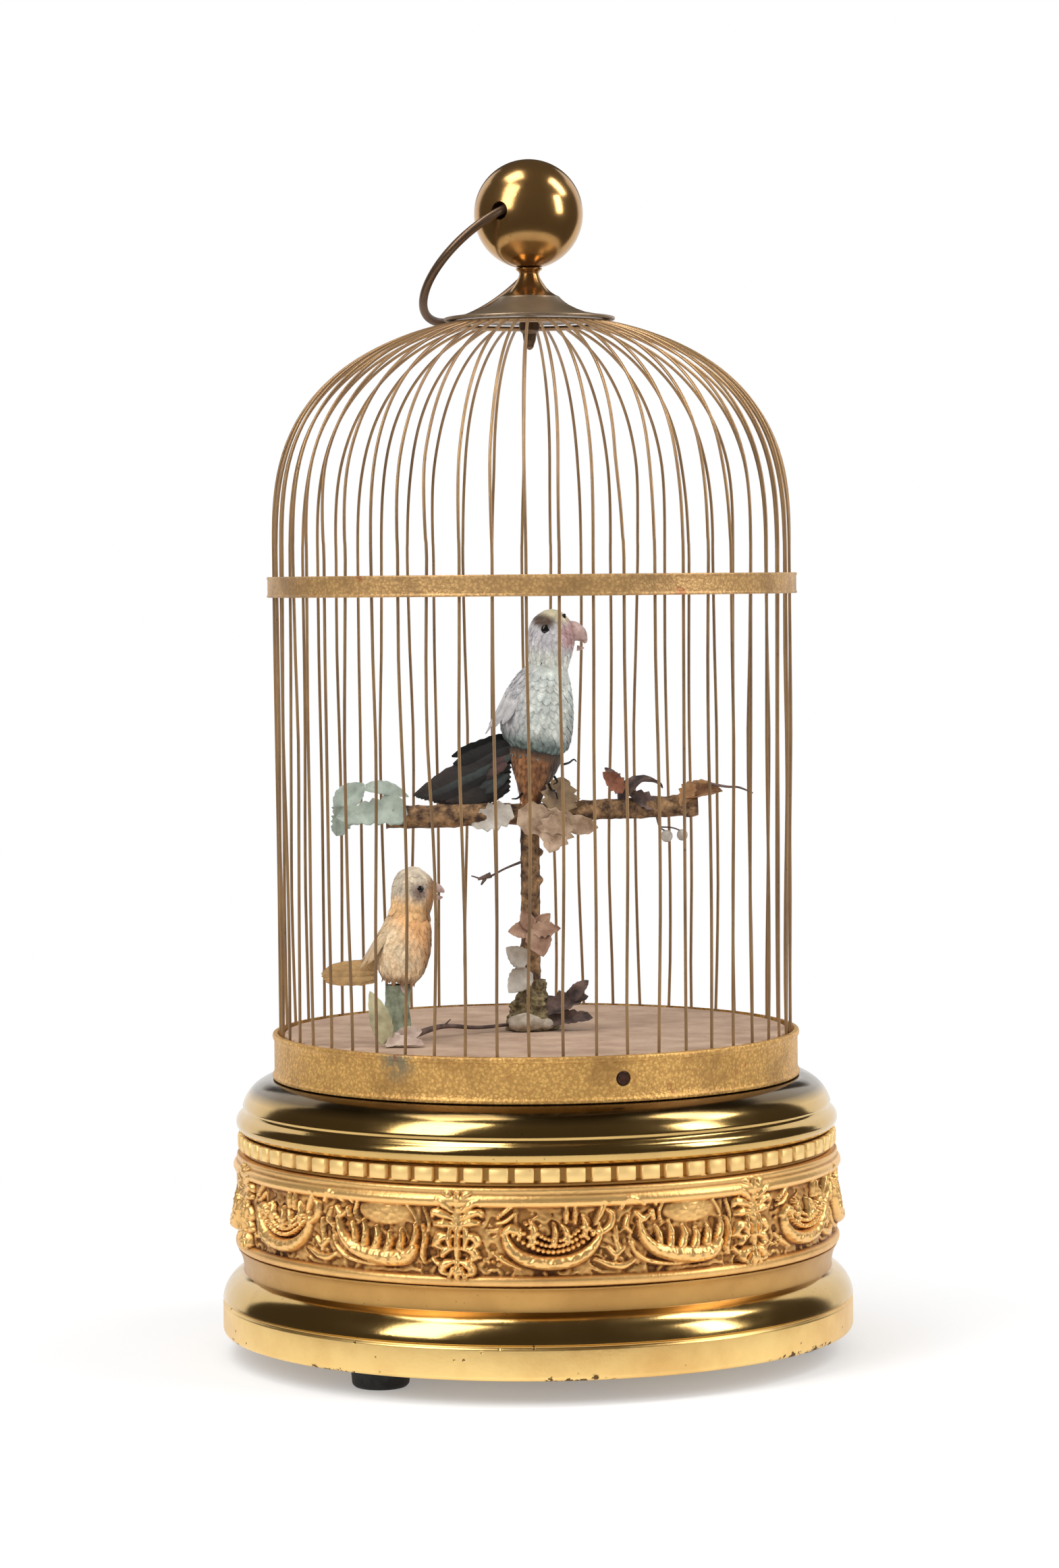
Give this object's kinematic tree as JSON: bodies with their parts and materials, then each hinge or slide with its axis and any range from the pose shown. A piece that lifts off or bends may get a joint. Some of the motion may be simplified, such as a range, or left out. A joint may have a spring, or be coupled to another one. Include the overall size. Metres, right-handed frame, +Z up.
{
  "type": "singing bird automaton",
  "caption": "Two feathered birds on a branched post in a gilt wire cage, over a round clockwork base with a scrolled frieze, hanging ring on a pierced ball.",
  "frame": {"origin": "centre of the base, at the height of the surface that the three feet stand on", "axes": "+Z up through the post and the ball, -Y towards the viewer, +X to the viewer's right"},
  "size_m": [0.154, 0.154, 0.2895],
  "materials": {
    "polished_gilt": "polished and lacquered",
    "gilt": "worn gilding",
    "ring_bronze": "dark tarnished",
    "movement_brass": "brushed",
    "steel": "oiled",
    "rubber": "matte",
    "painted_floor": "matte pinkish brown",
    "bellows_wood": "satin",
    "bellows_leather": "soft kid",
    "bark_wrap": "matte wrapped",
    "moss": "matte",
    "leaf_grey_green": "aged silk",
    "leaf_brown": "aged silk",
    "leaf_dark": "aged silk",
    "leaf_olive": "aged silk",
    "grey_plumage": "feathered",
    "brown_plumage": "feathered",
    "black_plumage": "feathered",
    "peach_plumage": "feathered",
    "beak_horn": "satin horn"
  },
  "bodies": {
    "base": {"base_rim": "polished_gilt", "base_shell": "polished_gilt", "bellows_board_lower": "bellows_wood", "bellows_leather": "bellows_leather", "bottom_cover": "movement_brass", "branch_left": "bark_wrap", "branch_right": "bark_wrap", "cage_wires": "gilt", "cap_flange": "polished_gilt", "center_post": "bark_wrap", "collar_screw": "steel", "collar_strip": "gilt", "dentil_ring": "gilt", "finial_ball": "polished_gilt", "floor_pan": "painted_floor", "frieze_band": "gilt", "leaf_drooping": "leaf_brown", "leaf_floor": "leaf_dark", "leaf_front": "leaf_olive", "leaf_left_end": "leaf_grey_green", "leaf_right_end": "leaf_brown", "lower_bird_body": "peach_plumage", "lower_stem": "moss", "mid_band": "gilt", "movement_plate_lower": "movement_brass", "movement_plate_upper": "movement_brass", "pendant_nut": "gilt", "post_mound": "moss", "rubber_foot_back": "rubber", "rubber_foot_front": "rubber", "rubber_foot_right": "rubber", "upper_bird_body": "grey_plumage", "upper_bird_legs": "brown_plumage", "whistle_body": "movement_brass"},
    "ring": {"hanging_ring": "ring_bronze"},
    "winding": {"winding_arbor": "steel", "winding_key": "movement_brass"},
    "barrel": {"mainspring_barrel": "movement_brass", "great_wheel": "movement_brass", "mainspring": "steel"},
    "cams": {"cam_arbor": "steel", "second_wheel": "movement_brass"},
    "third": {"third_wheel": "movement_brass"},
    "fly": {"governor_fly": "movement_brass"},
    "stop": {"stop_lever": "steel"},
    "bellows": {"bellows_board_upper": "bellows_wood"},
    "pump": {"pump_lever": "steel"},
    "piston": {"whistle_piston": "steel"},
    "upper_rod": {"upper_song_rod": "steel"},
    "upper_lever": {"upper_song_lever": "steel"},
    "upper_tube": {"upper_turn_tube": "steel"},
    "upper_head": {"upper_bird_head": "grey_plumage"},
    "upper_beak": {"upper_beak_lower": "beak_horn"},
    "upper_tail": {"upper_bird_tail": "black_plumage"},
    "lower_rod": {"lower_song_rod": "steel"},
    "lower_lever": {"lower_song_lever": "steel"},
    "lower_tube": {"lower_turn_tube": "steel"},
    "lower_head": {"lower_bird_head": "peach_plumage"},
    "lower_beak": {"lower_beak_lower": "beak_horn"},
    "lower_tail": {"lower_bird_tail": "brown_plumage"}
  },
  "joints": [
    {"name": "ring_swing", "type": "hinge", "parent": "base", "child": "ring", "pos_m": [0, 0, 0.27648], "axis": [0.5358, 0.8443, 0], "range_deg": [0, 268]},
    {"name": "winding_turn", "type": "hinge", "parent": "base", "child": "winding", "pos_m": [-0.00009, 0.00568, 0.011], "axis": [0, 0, 1], "continuous": true},
    {"name": "barrel_turn", "type": "hinge", "parent": "base", "child": "barrel", "pos_m": [-0.00009, 0.00568, 0.0403], "axis": [0, 0, 1], "continuous": true},
    {"name": "cam_turn", "type": "hinge", "parent": "base", "child": "cams", "pos_m": [0.02, -0.014, 0.0403], "axis": [0, 0, 1], "continuous": true},
    {"name": "third_turn", "type": "hinge", "parent": "base", "child": "third", "pos_m": [0.01609, -0.03616, 0.0403], "axis": [0, 0, 1], "continuous": true},
    {"name": "fly_turn", "type": "hinge", "parent": "base", "child": "fly", "pos_m": [-0.00391, -0.03616, 0.0403], "axis": [0, 0, 1], "continuous": true},
    {"name": "stop_lever_swing", "type": "hinge", "parent": "base", "child": "stop", "pos_m": [0.00859, -0.05156, 0.011], "axis": [0, 0, 1], "range_deg": [0, 15]},
    {"name": "bellows_stroke", "type": "slide", "parent": "base", "child": "bellows", "axis": [0, 0, 1], "range_m": [0, 0.003], "deforming": ["bellows_leather"]},
    {"name": "piston_slide", "type": "slide", "parent": "base", "child": "piston", "axis": [1, 0, 0], "range_m": [0, 0.005]},
    {"name": "pump_lever_rock", "type": "hinge", "parent": "base", "child": "pump", "pos_m": [0.02298, -0.00207, 0.0508], "axis": [0.9701, -0.2425, 0], "range_deg": [0, 13.4]},
    {"name": "upper_song_lift", "type": "slide", "parent": "base", "child": "upper_rod", "axis": [0, 0, 1], "range_m": [0, 0.0012]},
    {"name": "upper_lever_rock", "type": "hinge", "parent": "base", "child": "upper_lever", "pos_m": [0.00977, -0.00718, 0.0567], "axis": [0.5547, 0.8321, 0], "range_deg": [0, 5.27]},
    {"name": "upper_tube_turn", "type": "hinge", "parent": "base", "child": "upper_tube", "pos_m": [-0.001, 0, 0.0782], "axis": [0, 0, 1], "range_deg": [-20, 20]},
    {"name": "upper_head_turn", "type": "hinge", "parent": "base", "child": "upper_head", "pos_m": [-0.001, 0, 0.1332], "axis": [0.1822, 0, 0.9833], "range_deg": [-20, 20]},
    {"name": "upper_beak_open", "type": "hinge", "parent": "upper_head", "child": "upper_beak", "pos_m": [0.01217, 0, 0.17134], "axis": [0, 1, 0], "range_deg": [0, 14]},
    {"name": "upper_tail_wag", "type": "hinge", "parent": "base", "child": "upper_tail", "pos_m": [-0.00656, 0, 0.14379], "axis": [0, 1, 0], "range_deg": [0, 8]},
    {"name": "lower_song_lift", "type": "slide", "parent": "base", "child": "lower_rod", "axis": [0, 0, 1], "range_m": [0, 0.0012]},
    {"name": "lower_lever_rock", "type": "hinge", "parent": "base", "child": "lower_lever", "pos_m": [0.00811, -0.01716, 0.0567], "axis": [-0.2567, 0.9665, 0], "range_deg": [0, 1.75]},
    {"name": "lower_tube_turn", "type": "hinge", "parent": "base", "child": "lower_tube", "pos_m": [-0.0327, -0.028, 0.0782], "axis": [0, 0, 1], "range_deg": [-20, 20]},
    {"name": "lower_head_turn", "type": "hinge", "parent": "base", "child": "lower_head", "pos_m": [-0.0327, -0.028, 0.0921], "axis": [0.1685, 0, 0.9857], "range_deg": [-20, 20]},
    {"name": "lower_beak_open", "type": "hinge", "parent": "lower_head", "child": "lower_beak", "pos_m": [-0.02328, -0.028, 0.11281], "axis": [0, 1, 0], "range_deg": [0, 14]},
    {"name": "lower_tail_wag", "type": "hinge", "parent": "base", "child": "lower_tail", "pos_m": [-0.03798, -0.028, 0.09564], "axis": [0, 1, 0], "range_deg": [0, 8]}
  ],
  "couplings": [
    {"joint": "cam_turn", "follows": "barrel_turn", "ratio": -4},
    {"joint": "third_turn", "follows": "barrel_turn", "ratio": 12},
    {"joint": "fly_turn", "follows": "barrel_turn", "ratio": -36},
    {"joint": "pump_lever_rock", "follows": "bellows_stroke", "rad_per_m": 76.777},
    {"joint": "upper_lever_rock", "follows": "upper_song_lift", "rad_per_m": 73.809},
    {"joint": "upper_head_turn", "follows": "upper_tube_turn", "ratio": 1},
    {"joint": "upper_beak_open", "follows": "upper_song_lift", "rad_per_m": 200},
    {"joint": "upper_tail_wag", "follows": "upper_song_lift", "rad_per_m": 110},
    {"joint": "lower_lever_rock", "follows": "lower_song_lift", "rad_per_m": 22.615},
    {"joint": "lower_head_turn", "follows": "lower_tube_turn", "ratio": 1},
    {"joint": "lower_beak_open", "follows": "lower_song_lift", "rad_per_m": 200},
    {"joint": "lower_tail_wag", "follows": "lower_song_lift", "rad_per_m": 110}
  ]
}
